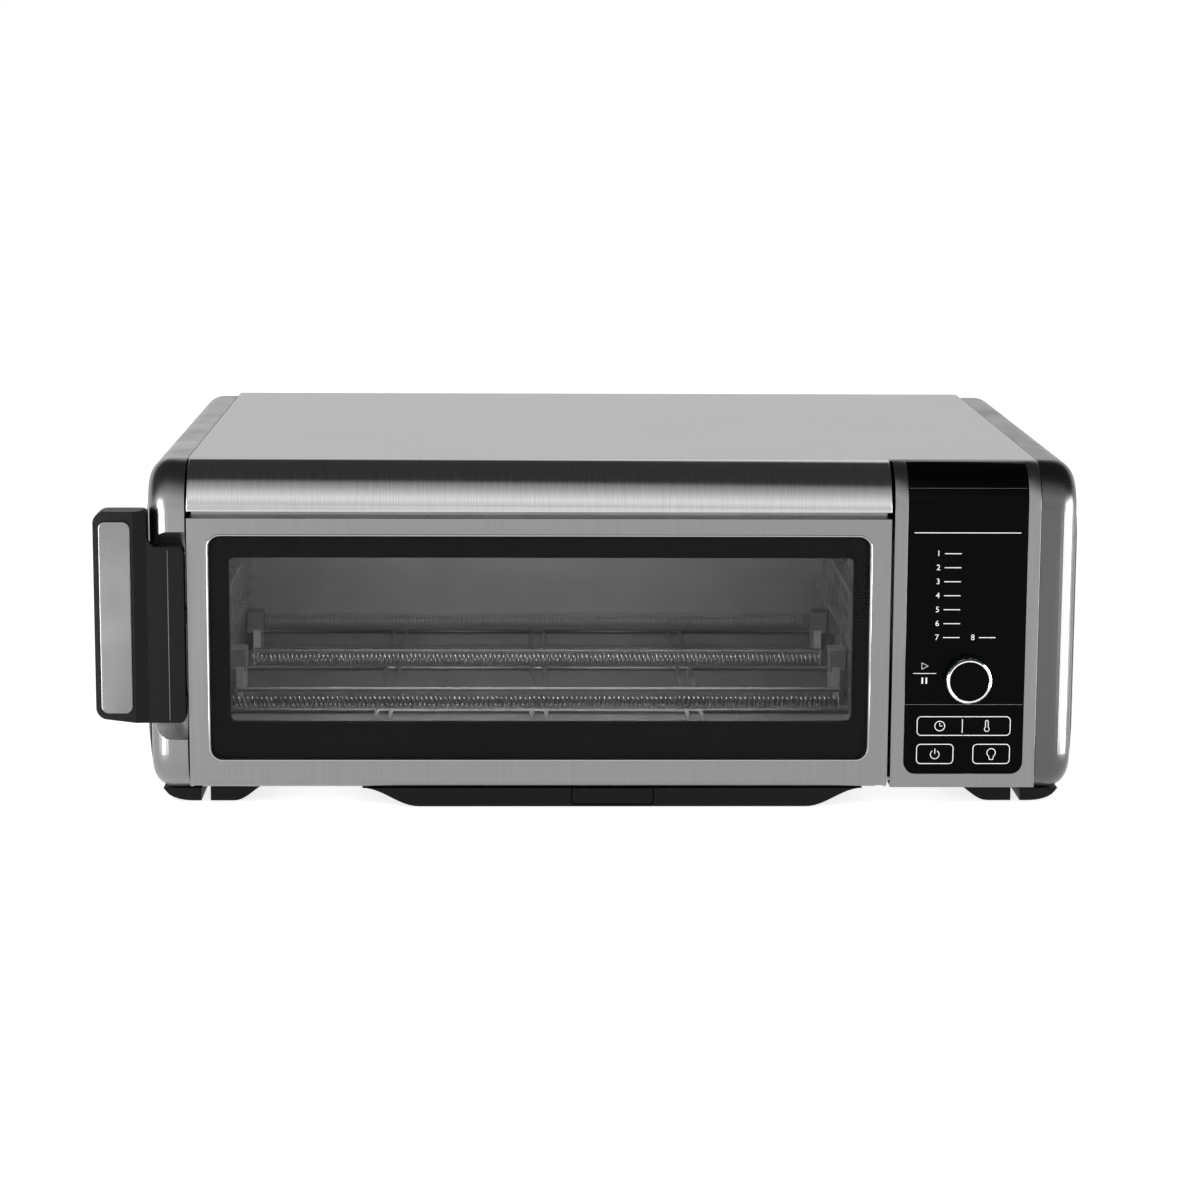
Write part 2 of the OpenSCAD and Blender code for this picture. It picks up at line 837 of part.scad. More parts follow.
module grip_outline(x1, z1) {
    fall = atan2(grip_z0 - arm_z0, x1 - handle_x0 - grip_r);
    rounded([handle_x0, grip_z0], [x1, z1], grip_r);
    polygon([[handle_x0 + grip_r * (1 - sin(fall)), grip_z0 + grip_r * (1 - cos(fall))],
        [x1, arm_z0], [x1, z1 - 3 * grip_r], [handle_x0 + 3 * grip_r, z1 - 3 * grip_r]]);
    square_off(x1, z1);
}
// A tighter corner where the grip's top meets the side frame
module square_off(x1, z1) {
    r = 3;
    translate([x1 - 2 * grip_r, z1 - 2 * grip_r]) square([2 * grip_r, 2 * grip_r - r]);
    translate([x1 - 2 * grip_r, z1 - grip_r]) square([2 * grip_r - r, grip_r]);
    translate([x1 - r, z1 - r]) circle(r);
}
// The arm curves up into the grip around the side frame
module arm_notch(x1) {
    difference() {
        translate([x1 - 1, arm_z1 - 2]) square([notch_r + 1, notch_r + 1]);
        translate([x1 + notch_r, arm_z1 + notch_r - 1]) circle(notch_r);
    }
}
module handle_grip() {
    x1 = handle_x0 + grip_w;
    z1 = grip_z0 + grip_h;
    face = front_y + 0.8;
    groove_x = arm_x1 - 8.8;
    color("#2a2a2a") in_frame() difference() {
        union() {
            along_y(face, grip_back) grip_outline(x1, z1);
            along_y(arm_y0, 5.5) rounded([x1 - 8, arm_z0], [arm_x1, arm_z1], 3);
            along_y(arm_y0, 1.5) arm_notch(x1);
            for (z = boss_z) block([arm_x1 - eps, -0.8, z - 3.6], [door_x0 - 0.05, 4.6, z + 3.6]);
        }
        along_y(front_y - 1, front_y + 2) insert_outline(0.2);
        translate([0, 0, arm_z0 - 2]) linear_extrude(z1) polygon([
            [handle_x0 + grip_flank, face - 1], [handle_x0 + grip_flank, face],
            [x1, arm_y0], [x1 + 1, arm_y0], [x1 + 1, face - 1]]);
        block([groove_x, arm_y0 - 1, arm_z0 - 1], [groove_x + 0.8, arm_y0 + 0.8, arm_z1 - 1]);
        for (z = boss_z) rod_x(door_x0 - 12, door_x0 + 1, 1.5 + sheet, z, 1.95);
    }
}
module insert_outline(margin) {
    rounded([handle_x0 + 2.9 - margin, grip_z0 + 3.3 - margin],
        [handle_x0 + 19.8 + margin, grip_z0 + grip_h - 5.2 + margin], 4);
}

module handle_insert() {
    color("silver") in_frame() along_y(front_y, front_y + 1.95) insert_outline(0);
}

module handle_screws() {
    color("gainsboro") in_frame() for (z = boss_z) {
        rod_x(door_x0 - 11, door_x0 + sheet + 0.1, 1.5 + sheet, z, 1.9);
        rod_x(door_x0 + sheet + 0.05, door_x0 + sheet + 1.6, 1.5 + sheet + 0.8, z, 2.2);
    }
}

// ---- Underside ----

function panel_edge(t) =
    [panel_low + (panel_top - panel_low) * t,
     panel_z0 + (panel_z1 - panel_z0) * (1 - cos(180 * t)) / 2];

module panel_shape(inset) {
    side = [for (i = [0:12]) panel_edge(i / 12) + [-inset, inset]];
    polygon(concat([for (p = side) p], [for (i = [12:-1:0]) [-side[i][0], side[i][1]]]));
}

// The hinged cleaning panel, a shallow tray with its hinge barrels at the back
module access_panel() {
    wall = 2;
    barrel = 4;
    color("#1c1c1c") in_frame() difference() {
        union() {
            difference() {
                along_y(panel_y0, panel_y1) panel_shape(0);
                along_y(panel_y0 + wall, panel_y1 - wall) panel_shape(wall);
            }
            for (side = [-1, 1]) translate([side * 91.5, 0, 0]) {
                rod_x(-6.5, 6.5, panel_hinge[0], panel_hinge[1], barrel);
                block([-6.5, panel_y1 - 1, panel_hinge[1] - 3],
                    [6.5, panel_hinge[0], panel_hinge[1] + 3]);
            }
        }
        for (side = [-1, 1]) translate([side * 91.5, 0, 0])
            rod_x(-8, 8, panel_hinge[0], panel_hinge[1], 2 + run_gap);
        along_y(panel_y0 - 1, panel_y0 + 9) latch_outline(0.3);
    }
}

module latch_outline(margin) {
    rounded([-latch_w / 2 - margin, panel_z0 + 1.2 - margin],
        [latch_w / 2 + margin, panel_z1 + 4], 2);
}

module latch_button() {
    color("#1c1c1c") in_frame() intersection() {
        union() {
            along_y(panel_y0 + 0.2, panel_y0 + 4) latch_outline(0);
            block([-12, panel_y0 + 3.9, 4], [12, panel_y0 + 14, 8]);
        }
        block([-latch_w, 0, 0], [latch_w, 40, panel_z1 - 0.1]);
    }
}

top_cover();
front_hood();
side_frame_left();
side_frame_right();
side_cover_left();
side_cover_right();
back_panel();
rear_stands();
base_pan();
feet();
foot_pads();
fascia();
fascia_lens();
control_board();
display_module();
encoder_body();
power_board();
cord_gland();
cavity_left_wall();
cavity_right_wall();
cavity_back_wall();
cavity_ceiling();
cavity_front_frame();
bulkhead();
heater_tubes();
heater_coils();
heater_end_caps();
heater_guards();
heater_brackets();
crumb_tray();
insulation_blanket();
fan_motor();
oven_lamp();
lamp_cover();
temperature_probe();
door_switch();
hinge_ears();
case_screws();
door_frame();
door_glass_outer();
door_glass_mask();
door_inner_frame();
door_glass_inner();
door_hinge_pins();
handle_grip();
handle_insert();
handle_screws();
convection_fan();
motor_shaft();
cooling_fan();
encoder_plunger();
encoder_shaft();
knob_cap();
knob_ring();
time_button();
temp_button();
power_button();
light_button();
access_panel();
latch_button();
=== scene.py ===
"""Looks of the toaster oven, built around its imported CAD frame.

Lengths in the tables below are millimetres from the middle of the body (x), the plane
of the door's face (y) and the counter (z); at() turns them into the frame's metres.
"""
import json
import math

import bmesh
import bpy
from mathutils import Matrix, Vector


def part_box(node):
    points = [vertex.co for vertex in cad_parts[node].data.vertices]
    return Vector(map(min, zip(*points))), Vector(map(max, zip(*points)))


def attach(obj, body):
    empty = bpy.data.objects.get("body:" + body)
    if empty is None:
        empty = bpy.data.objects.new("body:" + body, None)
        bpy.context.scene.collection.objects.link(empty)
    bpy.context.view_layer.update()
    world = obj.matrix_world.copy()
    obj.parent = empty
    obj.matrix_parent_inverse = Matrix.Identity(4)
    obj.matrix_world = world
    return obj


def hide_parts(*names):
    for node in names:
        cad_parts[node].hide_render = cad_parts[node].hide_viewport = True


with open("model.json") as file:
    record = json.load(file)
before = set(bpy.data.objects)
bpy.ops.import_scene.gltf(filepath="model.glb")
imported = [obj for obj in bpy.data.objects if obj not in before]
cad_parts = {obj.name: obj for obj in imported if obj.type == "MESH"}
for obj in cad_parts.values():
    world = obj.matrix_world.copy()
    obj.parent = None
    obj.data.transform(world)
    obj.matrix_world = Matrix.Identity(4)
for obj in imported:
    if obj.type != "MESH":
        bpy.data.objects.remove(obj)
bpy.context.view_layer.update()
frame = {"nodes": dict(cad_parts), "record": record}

MM = 0.001
BODY_MID_X = (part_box("side_frame_left")[0].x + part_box("side_frame_right")[1].x) / 2
DOOR_FACE_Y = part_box("door_frame")[0].y
NODES = frame["nodes"]


def at(x, y, z):
    """A point of the layout, in the frame's metres."""
    return Vector((BODY_MID_X + x * MM, DOOR_FACE_Y + y * MM, z * MM))


def layout_box(node):
    """A CAD node's corners, in the layout's millimetres."""
    low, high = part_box(node)
    shift = Vector((BODY_MID_X, DOOR_FACE_Y, 0))
    return (low - shift) / MM, (high - shift) / MM


# ---------------------------------------------------------------- camera and light

def make_camera():
    data = bpy.data.cameras.new("camera")
    data.sensor_width = 36
    data.lens = 96.5
    data.clip_end = 20
    camera = bpy.data.objects.new("camera", data)
    bpy.context.collection.objects.link(camera)
    camera.location = at(-48.8, -1714, 413)
    pitch, yaw, roll = math.radians(90 - 9.82), math.radians(-1.38), math.radians(0.3)
    camera.rotation_euler = (
        Matrix.Rotation(yaw, 3, "Z") @ Matrix.Rotation(pitch, 3, "X")
        @ Matrix.Rotation(roll, 3, "Z")
    ).to_euler()
    bpy.context.scene.camera = camera


def make_world():
    """A soft studio: white backdrop, dark ceiling, a bright softbox high in front.

    The brightness depends on the angle round the X axis, from the back horizon over the
    zenith to the front horizon.
    """
    world = bpy.data.worlds.new("studio")
    bpy.context.scene.world = world
    world.use_nodes = True
    tree = world.node_tree
    tree.nodes.clear()
    make = tree.nodes.new
    place = make("ShaderNodeTexCoord")
    split = make("ShaderNodeSeparateXYZ")
    angle = make("ShaderNodeMath")
    angle.operation = "ARCTAN2"
    share = make("ShaderNodeMath")
    share.operation = "DIVIDE"
    share.inputs[1].default_value = math.pi
    ramp = make("ShaderNodeValToRGB")
    stops = [(0.0, 1.0), (0.13, 1.0), (0.18, 0.06), (0.63, 0.06), (0.69, 0.45),
             (0.76, 0.7), (0.84, 1.15), (0.91, 1.5), (1.0, 1.05)]
    ramp.color_ramp.elements[0].position = stops[0][0]
    ramp.color_ramp.elements[1].position = stops[-1][0]
    for position, _ in stops[1:-1]:
        ramp.color_ramp.elements.new(position)
    for element, (position, value) in zip(ramp.color_ramp.elements, stops):
        element.position = position
        element.color = (value, value, value, 1)
    background = make("ShaderNodeBackground")
    background.inputs["Strength"].default_value = 1.0
    out = make("ShaderNodeOutputWorld")
    link = tree.links.new
    link(place.outputs["Generated"], split.inputs[0])
    link(split.outputs["Z"], angle.inputs[0])
    link(split.outputs["Y"], angle.inputs[1])
    link(angle.outputs[0], share.inputs[0])
    link(share.outputs[0], ramp.inputs[0])
    link(ramp.outputs[0], background.inputs["Color"])
    link(background.outputs[0], out.inputs[0])


def area_light(name, place, aim, size, power):
    data = bpy.data.lights.new(name, "AREA")
    data.shape = "RECTANGLE"
    data.size, data.size_y = size
    data.energy = power
    light = bpy.data.objects.new(name, data)
    bpy.context.collection.objects.link(light)
    light.location = place
    light.rotation_euler = (aim - place).to_track_quat("-Z", "Y").to_euler()
    return light


def make_lights():
    middle = at(0, 180, 90)
    key = area_light("key", at(-500, -1500, 1500), middle, (1.6, 0.7), 18)
    key.visible_glossy = False
    for name, place, width, power in (("strip_left", at(-345, -90, 97), 0.05, 0.6),
                                      ("strip_right", at(345, -20, 97), 0.09, 0.81)):
        strip = area_light(name, place, at(0, 60, 97), (width, 0.18), power)
        strip.visible_camera = False
        strip.visible_diffuse = False
    inside = area_light("cavity_glow", at(-40, 110, 141), at(-40, 150, 0), (0.30, 0.16), 1.25)
    inside.visible_camera = False


def make_floor():
    mesh = bpy.data.meshes.new("floor")
    reach = 6
    mesh.from_pydata([(-reach, -reach, 0), (reach, -reach, 0), (reach, reach, 0),
                      (-reach, reach, 0)], [], [(0, 1, 2, 3)])
    floor = bpy.data.objects.new("floor", mesh)
    bpy.context.collection.objects.link(floor)
    floor.data.materials.append(floor_paint())


# ---------------------------------------------------------------- materials

class Shader:
    """A small helper for building a Principled material from procedural textures."""

    def __init__(self, name, colour, metallic=0.0, roughness=0.5, **sockets):
        self.material = bpy.data.materials.new(name)
        self.material.use_nodes = True
        self.tree = self.material.node_tree
        self.bsdf = self.tree.nodes["Principled BSDF"]
        self.bsdf.inputs["Base Color"].default_value = (*colour, 1)
        self.bsdf.inputs["Metallic"].default_value = metallic
        self.bsdf.inputs["Roughness"].default_value = roughness
        for socket, value in sockets.items():
            self.bsdf.inputs[socket.replace("_", " ")].default_value = value
        self.colour, self.roughness = colour, roughness
        self.place = self.tree.nodes.new("ShaderNodeTexCoord").outputs["Object"]

    def node(self, kind, **settings):
        made = self.tree.nodes.new(kind)
        for key, value in settings.items():
            setattr(made, key, value)
        return made

    def link(self, a, b):
        self.tree.links.new(a, b)

    def noise(self, scale, detail=3.0, stretch=(1, 1, 1)):
        """Noise over the object's own coordinates; scale is in cycles a metre."""
        mapping = self.node("ShaderNodeMapping")
        mapping.inputs["Scale"].default_value = stretch
        self.link(self.place, mapping.inputs["Vector"])
        noise = self.node("ShaderNodeTexNoise")
        noise.inputs["Scale"].default_value = scale
        noise.inputs["Detail"].default_value = detail
        self.link(mapping.outputs[0], noise.inputs["Vector"])
        return noise.outputs[0]

    def spread(self, value, low, high, from_low=0.3, from_high=0.7):
        made = self.node("ShaderNodeMapRange")
        self.link(value, made.inputs["Value"])
        for key, number in (("From Min", from_low), ("From Max", from_high),
                            ("To Min", low), ("To Max", high)):
            made.inputs[key].default_value = number
        return made.outputs[0]

    def vary_colour(self, value, amount):
        """Darkens and lightens the base colour by amount either way."""
        mix = self.node("ShaderNodeMix", data_type="RGBA")
        self.link(self.spread(value, 0, 1), mix.inputs[0])
        mix.inputs[6].default_value = (*(c * (1 - amount) for c in self.colour), 1)
        mix.inputs[7].default_value = (*(min(c * (1 + amount), 1) for c in self.colour), 1)
        self.link(mix.outputs[2], self.bsdf.inputs["Base Color"])

    def vary_roughness(self, value, amount):
        low, high = self.roughness - amount, self.roughness + amount
        self.link(self.spread(value, low, high), self.bsdf.inputs["Roughness"])

    def bump(self, value, distance, strength=1.0):
        made = self.node("ShaderNodeBump")
        made.inputs["Distance"].default_value = distance
        made.inputs["Strength"].default_value = strength
        self.link(value, made.inputs["Height"])
        self.link(made.outputs[0], self.bsdf.inputs["Normal"])

    def mixed(self, a, b, share):
        mix = self.node("ShaderNodeMix")
        mix.inputs[0].default_value = share
        self.link(a, mix.inputs[2])
        self.link(b, mix.inputs[3])
        return mix.outputs[0]


def brushed(name, colour, roughness, stretch, depth=0.00001, contrast=0.10, uneven=0.06,
            metallic=1.0):
    """Metal with a brushed grain: fine across stretch's large axes, long along the small."""
    made = Shader(name, colour, metallic=metallic, roughness=roughness)
    fine = made.noise(900, 2.0, stretch)
    smudge = made.noise(14, 3.0)
    both = made.mixed(fine, smudge, 0.35)
    made.vary_colour(fine, contrast)
    made.vary_roughness(both, uneven)
    made.bump(fine, depth, 0.5)
    return made.material


def polished(name, colour, roughness=0.08):
    made = Shader(name, colour, metallic=1.0, roughness=roughness)
    made.vary_roughness(made.noise(60, 4.0), 0.04)
    made.vary_colour(made.noise(25), 0.04)
    return made.material


def satin_metal(name, colour, roughness):
    made = Shader(name, colour, metallic=1.0, roughness=roughness)
    made.vary_roughness(made.noise(35, 4.0), 0.05)
    made.vary_colour(made.noise(1800, 2.0), 0.05)
    made.bump(made.noise(2600, 2.0), 0.000004, 0.6)
    return made.material


def moulded(name, colour, roughness, depth=0.00003, scale=2600):
    """Plastic with the fine texture of its mould."""
    made = Shader(name, colour, roughness=roughness, Specular_IOR_Level=0.12)
    made.vary_roughness(made.noise(320, 3.0), 0.03)
    made.vary_colour(made.noise(320, 2.0), 0.05)
    made.bump(made.noise(scale, 2.0), depth, 0.6)
    return made.material


def glazed(name, colour, roughness=0.06):
    """Very smooth gloss with faint finger smudges."""
    made = Shader(name, colour, roughness=roughness, Specular_IOR_Level=0.03)
    made.vary_roughness(made.noise(22, 4.0), 0.03)
    made.vary_colour(made.noise(10), 0.08)
    return made.material


def pressed_sheet(name, colour, roughness, wave=0.0006):
    """Glossy thin sheet, slightly wavy from pressing."""
    made = Shader(name, colour, metallic=0.85, roughness=roughness)
    made.vary_roughness(made.noise(30, 3.0), 0.05)
    made.vary_colour(made.noise(50, 3.0), 0.08)
    made.bump(made.noise(28, 1.5), wave, 0.8)
    return made.material


def pane(name, colour, alpha, roughness=0.03):
    made = Shader(name, colour, roughness=roughness, Alpha=alpha, IOR=1.5,
                  Specular_IOR_Level=0.08)
    made.vary_roughness(made.noise(18, 4.0), 0.015)
    made.vary_colour(made.noise(9), 0.05)
    return made.material


def floor_paint():
    made = Shader("floor_paint", (0.86, 0.86, 0.86), roughness=0.9, Emission_Strength=0.80,
                  Specular_IOR_Level=0.0)
    made.bsdf.inputs["Emission Color"].default_value = (1, 1, 1, 1)
    made.vary_roughness(made.noise(3), 0.04)
    return made.material


GRAIN_UP = (1.6, 0.12, 0.02)      # grain runs up the front and over the hood
GRAIN_DEEP = (1.6, 0.02, 0.12)    # grain runs from front to back


def make_materials():
    return {
        "brushed_steel": brushed("brushed_steel", (0.23, 0.23, 0.23), 0.30, GRAIN_UP, 0.000004,
                                 0.05, 0.03),
        "hood_steel": brushed("hood_steel", (0.46, 0.46, 0.46), 0.15, GRAIN_UP, 0.000003, 0.07,
                              0.05),
        "top_steel": brushed("top_steel", (0.42, 0.42, 0.42), 0.30, GRAIN_DEEP, 0.0000001, 0.004,
                             0.008, 0.7),
        # The two side trims are one finish in two brightnesses. The right trim's copy is darker,
        # and the left trim's copy has a lighter base colour as painted light, because the left
        # side is the lit side.
        "side_trim": satin_metal("side_trim", (0.10, 0.10, 0.10), 0.31),
        "side_trim_left_painted_lit": satin_metal("side_trim_left_painted_lit", (0.22, 0.22, 0.22), 0.31),
        "bracket_steel": satin_metal("bracket_steel", (0.62, 0.62, 0.62), 0.55),
        # a lighter plastic that is only there to paint the highlight line down the handle's arm
        "handle_highlight_plastic": moulded("handle_highlight_plastic", (0.14, 0.14, 0.14), 0.35, 0.000005),
        "handle_metal": satin_metal("handle_metal", (0.185, 0.185, 0.185), 0.30),
        "bright_lip": polished("bright_lip", (0.36, 0.36, 0.36), 0.16),
        "chrome": polished("chrome", (0.82, 0.82, 0.82), 0.07),
        "wire_chrome": polished("wire_chrome", (0.24, 0.24, 0.24), 0.52),
        "black_plastic": moulded("black_plastic", (0.0022, 0.0022, 0.0022), 0.46),
        "grip_plastic": moulded("grip_plastic", (0.0035, 0.0035, 0.0035), 0.42, 0.00002),
        "switch_plastic": moulded("switch_plastic", (0.03, 0.03, 0.03), 0.5),
        "rubber": moulded("rubber", (0.012, 0.012, 0.012), 0.8, 0.00008, 1400),
        "gloss_black": glazed("gloss_black", (0.0012, 0.0012, 0.0012)),
        "black_print": glazed("black_print", (0.003, 0.003, 0.003), 0.3),
        "white_print": moulded("white_print", (0.80, 0.80, 0.80), 0.6, 0.000004),
        "grey_sheet": satin_metal("grey_sheet", (0.22, 0.22, 0.22), 0.45),
        "cavity_steel": pressed_sheet("cavity_steel", (0.42, 0.42, 0.42), 0.26),
        "cavity_back": pressed_sheet("cavity_back", (0.34, 0.34, 0.34), 0.50, 0.0001),
        "glass": pane("glass", (0.011, 0.011, 0.011), 0.30),
        "quartz": pane("quartz", (0.30, 0.30, 0.30), 0.06, 0.12),
        "coil_metal": satin_metal("coil_metal", (0.55, 0.54, 0.52), 0.35),
        "ceramic": moulded("ceramic", (0.16, 0.16, 0.155), 0.35, 0.00002, 900),
        "blanket": moulded("blanket", (0.55, 0.50, 0.42), 0.95, 0.0008, 500),
        "board_green": moulded("board_green", (0.01, 0.07, 0.03), 0.3),
        "fan_alloy": satin_metal("fan_alloy", (0.6, 0.6, 0.6), 0.35),
        "screw_steel": polished("screw_steel", (0.45, 0.45, 0.45), 0.25),
    }


NODE_FINISH = {
    "top_cover": "top_steel", "front_hood": "hood_steel", "cavity_back_wall": "cavity_back",
    "handle_grip": "grip_plastic", "crumb_tray": "cavity_back",
    # the left side frame takes the lighter copy of the trim finish, which is painted light
    "side_frame_left": "side_trim_left_painted_lit", "heater_brackets": "bracket_steel",
}
EDGE_ROUND = {
    "top_cover": 0.3, "front_hood": 0.4, "back_panel": 0.3, "rear_stands": 2.0,
    "feet": 0.8, "fascia": 0.5, "fascia_lens": 0.25, "cord_gland": 0.6,
    "side_frame_left": 0.5, "side_frame_right": 0.5, "side_cover_left": 0.5,
    "side_cover_right": 0.5, "heater_end_caps": 1.0, "heater_brackets": 0.15,
    "crumb_tray": 0.4, "door_frame": 0.35, "door_glass_outer": 0.3,
    "door_inner_frame": 0.3, "handle_insert": 0.6, "handle_grip": 1.6,
    "knob_cap": 0.5, "time_button": 0.25, "temp_button": 0.25, "power_button": 0.25,
    "light_button": 0.25, "access_panel": 0.8, "latch_button": 0.5,
    "cavity_front_frame": 0.3, "lamp_cover": 1.0, "case_screws": 0.4, "hinge_ears": 0.4,
}


def dress_nodes(paints):
    """Gives every CAD node its finish, and rounds the sharp edges of the nodes listed in
    EDGE_ROUND with modifiers.
    """
    slots = {part["node"]: part["material_slot"] for part in frame["record"]["subparts"]}
    for name, node in NODES.items():
        paint = paints[NODE_FINISH.get(name, slots[name])]
        node.data.materials.clear()
        node.data.materials.append(paint)
        weld = node.modifiers.new("weld", "WELD")
        weld.merge_threshold = 0.002 * MM
        if name in EDGE_ROUND:
            merge = node.modifiers.new("merge", "DECIMATE")
            merge.decimate_type = "DISSOLVE"
            merge.angle_limit = math.radians(0.3)
            round_edges(node, EDGE_ROUND[name])


def round_edges(piece, width, segments=3, angle=35):
    bevel = piece.modifiers.new("round", "BEVEL")
    bevel.width = width * MM
    bevel.segments = segments
    bevel.limit_method = "ANGLE"
    bevel.angle_limit = math.radians(angle)
    bevel.harden_normals = True


# ---------------------------------------------------------------- mesh building

def add_mesh(name, verts, faces, paint, body, slot, smooth=True):
    mesh = bpy.data.meshes.new(name)
    mesh.from_pydata([tuple(v) for v in verts], [], faces)
    mesh.validate()
    work = bmesh.new()
    work.from_mesh(mesh)
    bmesh.ops.recalc_face_normals(work, faces=work.faces)
    for face in work.faces:
        face.smooth = smooth
    work.to_mesh(mesh)
    work.free()
    piece = bpy.data.objects.new(name, mesh)
    bpy.context.collection.objects.link(piece)
    mesh.materials.append(paint)
    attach(piece, body)
    return piece


def tube(points, radius, sides, closed=False):
    """Vertices and faces of a round tube that follows the points."""
    verts, faces = [], []
    count = len(points)
    normal = None
    for i, point in enumerate(points):
        before = points[i - 1] if (i or closed) else point
        after = points[(i + 1) % count] if (i < count - 1 or closed) else point
        along = (after - before).normalized()
        if normal is None:
            normal = along.orthogonal().normalized()
        normal = (normal - along * normal.dot(along)).normalized()
        side = along.cross(normal)
        for k in range(sides):
            turn = 2 * math.pi * k / sides
            verts.append(point + (normal * math.cos(turn) + side * math.sin(turn)) * radius)
    for i in range(count if closed else count - 1):
        for k in range(sides):
            a, b = i * sides + k, i * sides + (k + 1) % sides
            c, d = ((i + 1) % count) * sides + (k + 1) % sides, ((i + 1) % count) * sides + k
            faces.append((a, b, c, d))
    if not closed:
        faces.append(tuple(range(sides))[::-1])
        faces.append(tuple((count - 1) * sides + k for k in range(sides)))
    return verts, faces


def merge_parts(parts):
    """Joins several (verts, faces) pairs into one."""
    verts, faces = [], []
    for part_verts, part_faces in parts:
        base = len(verts)
        verts.extend(part_verts)
        faces.extend(tuple(i + base for i in face) for face in part_faces)
    return verts, faces


def arc(cx, cz, r, start, stop, steps):
    """Points of an arc in degrees, counted anticlockwise from +x."""
    return [(cx + r * math.cos(math.radians(start + (stop - start) * i / steps)),
             cz + r * math.sin(math.radians(start + (stop - start) * i / steps)))
            for i in range(steps + 1)]


def rounded_loop(x0, x1, z0, z1, r, steps=8):
    """Closed outline of a rectangle with round corners."""
    return (arc(x1 - r, z1 - r, r, 0, 90, steps) + arc(x0 + r, z1 - r, r, 90, 180, steps)
            + arc(x0 + r, z0 + r, r, 180, 270, steps) + arc(x1 - r, z0 + r, r, 270, 360, steps))


def stroke(path, width, closed, front, thick=0.07):
    """A flat printed line along the path, lying on the surface y = front(z)."""
    count = len(path)
    verts, faces = [], []
    for i, (x, z) in enumerate(path):
        before = path[i - 1] if (i or closed) else (2 * x - path[1][0], 2 * z - path[1][1])
        after = path[(i + 1) % count] if (i < count - 1 or closed) else (
            2 * x - path[i - 1][0], 2 * z - path[i - 1][1])
        along = Vector((after[0] - before[0], after[1] - before[1])).normalized()
        side = Vector((-along.y, along.x)) * width / 2
        for sign in (1, -1):
            px, pz = x + sign * side.x, z + sign * side.y
            verts.append(at(px, front(pz) - thick, pz))
            verts.append(at(px, front(pz) + 0.02, pz))
    for i in range(count if closed else count - 1):
        a, b = 4 * i, 4 * ((i + 1) % count)
        for k, m in ((0, 1), (1, 3), (3, 2), (2, 0)):
            faces.append((a + k, a + m, b + m, b + k))
    if not closed:
        last = 4 * (count - 1)
        faces += [(0, 2, 3, 1), (last, last + 1, last + 3, last + 2)]
    return verts, faces


# ---------------------------------------------------------------- control strip prints

LENS_Y = layout_box("fascia_lens")[0].y
KEY_Y = layout_box("time_button")[0].y
LENS_R = 23.2
LENS_TOP = layout_box("front_hood")[1].z


def on_lens(z):
    """The lens's face: flat, then rolling back at the top."""
    middle = LENS_TOP - LENS_R - LENS_Y + 1.5
    lift = max(0, z - middle)
    return LENS_Y + LENS_R - math.sqrt(max(LENS_R ** 2 - lift ** 2, 0))


def on_key(z):
    return KEY_Y


def numeral(name, number, x, z, paint):
    """A printed number on the lens: thin closed shapes."""
    curve = bpy.data.curves.new(name, "FONT")
    curve.body = str(number)
    curve.size = NUMERAL_H / CAPITAL_SHARE
    curve.align_y = "CENTER"
    curve.extrude = 0.04
    curve.resolution_u = 3
    helper = bpy.data.objects.new(name + "_curve", curve)
    bpy.context.collection.objects.link(helper)
    bpy.context.view_layer.update()
    mesh = bpy.data.meshes.new_from_object(helper.evaluated_get(
        bpy.context.evaluated_depsgraph_get()))
    bpy.data.objects.remove(helper)
    for vert in mesh.vertices:
        vert.co = at(x + vert.co.x, LENS_Y - 0.03 - vert.co.z, z + vert.co.y)
    work = bmesh.new()
    work.from_mesh(mesh)
    bmesh.ops.remove_doubles(work, verts=work.verts, dist=0.001 * MM)
    bmesh.ops.recalc_face_normals(work, faces=work.faces)
    work.to_mesh(mesh)
    work.free()
    mesh.name = name
    mesh.materials.clear()
    mesh.materials.append(paint)
    piece = bpy.data.objects.new(name, mesh)
    bpy.context.collection.objects.link(piece)
    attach(piece, "cabinet")


NUMERAL_H = 3.1
CAPITAL_SHARE = 0.70              # a capital's height, as a share of the font's size
MODE_X = 174.8
MODE_TOP = 141.6
MODE_STEP = 7.7
MODE_ROWS = 7
SECOND_X = 194.4                  # the eighth mode stands beside the seventh
TICK_GAP = 4.5
TICK = 9
RULE_X = (162.6, 220.4)
RULE_Z = 153
START_X = (163.4, 176.0)
START_Z = 75.5
SEAM_X = (159.6, 223.7)
SEAM_Z = (177.0, 58.2)
KEYS_X = (166.2, 217.2)
KEY_ROUND = 2.2
LINE = 0.42
BROAD_LINE = 0.45


def play_icon(x, z, line, front):
    """A triangle pointing right."""
    return [stroke([(x - 1.5, z - 1.8), (x - 1.5, z + 1.8), (x + 1.9, z)], line, True, front)]


def pause_icon(x, z, line, front):
    """Two upright bars."""
    return [stroke([(x + shift, z - 1.7), (x + shift, z + 1.7)], 2 * line, False, front)
            for shift in (-1.1, 1.1)]


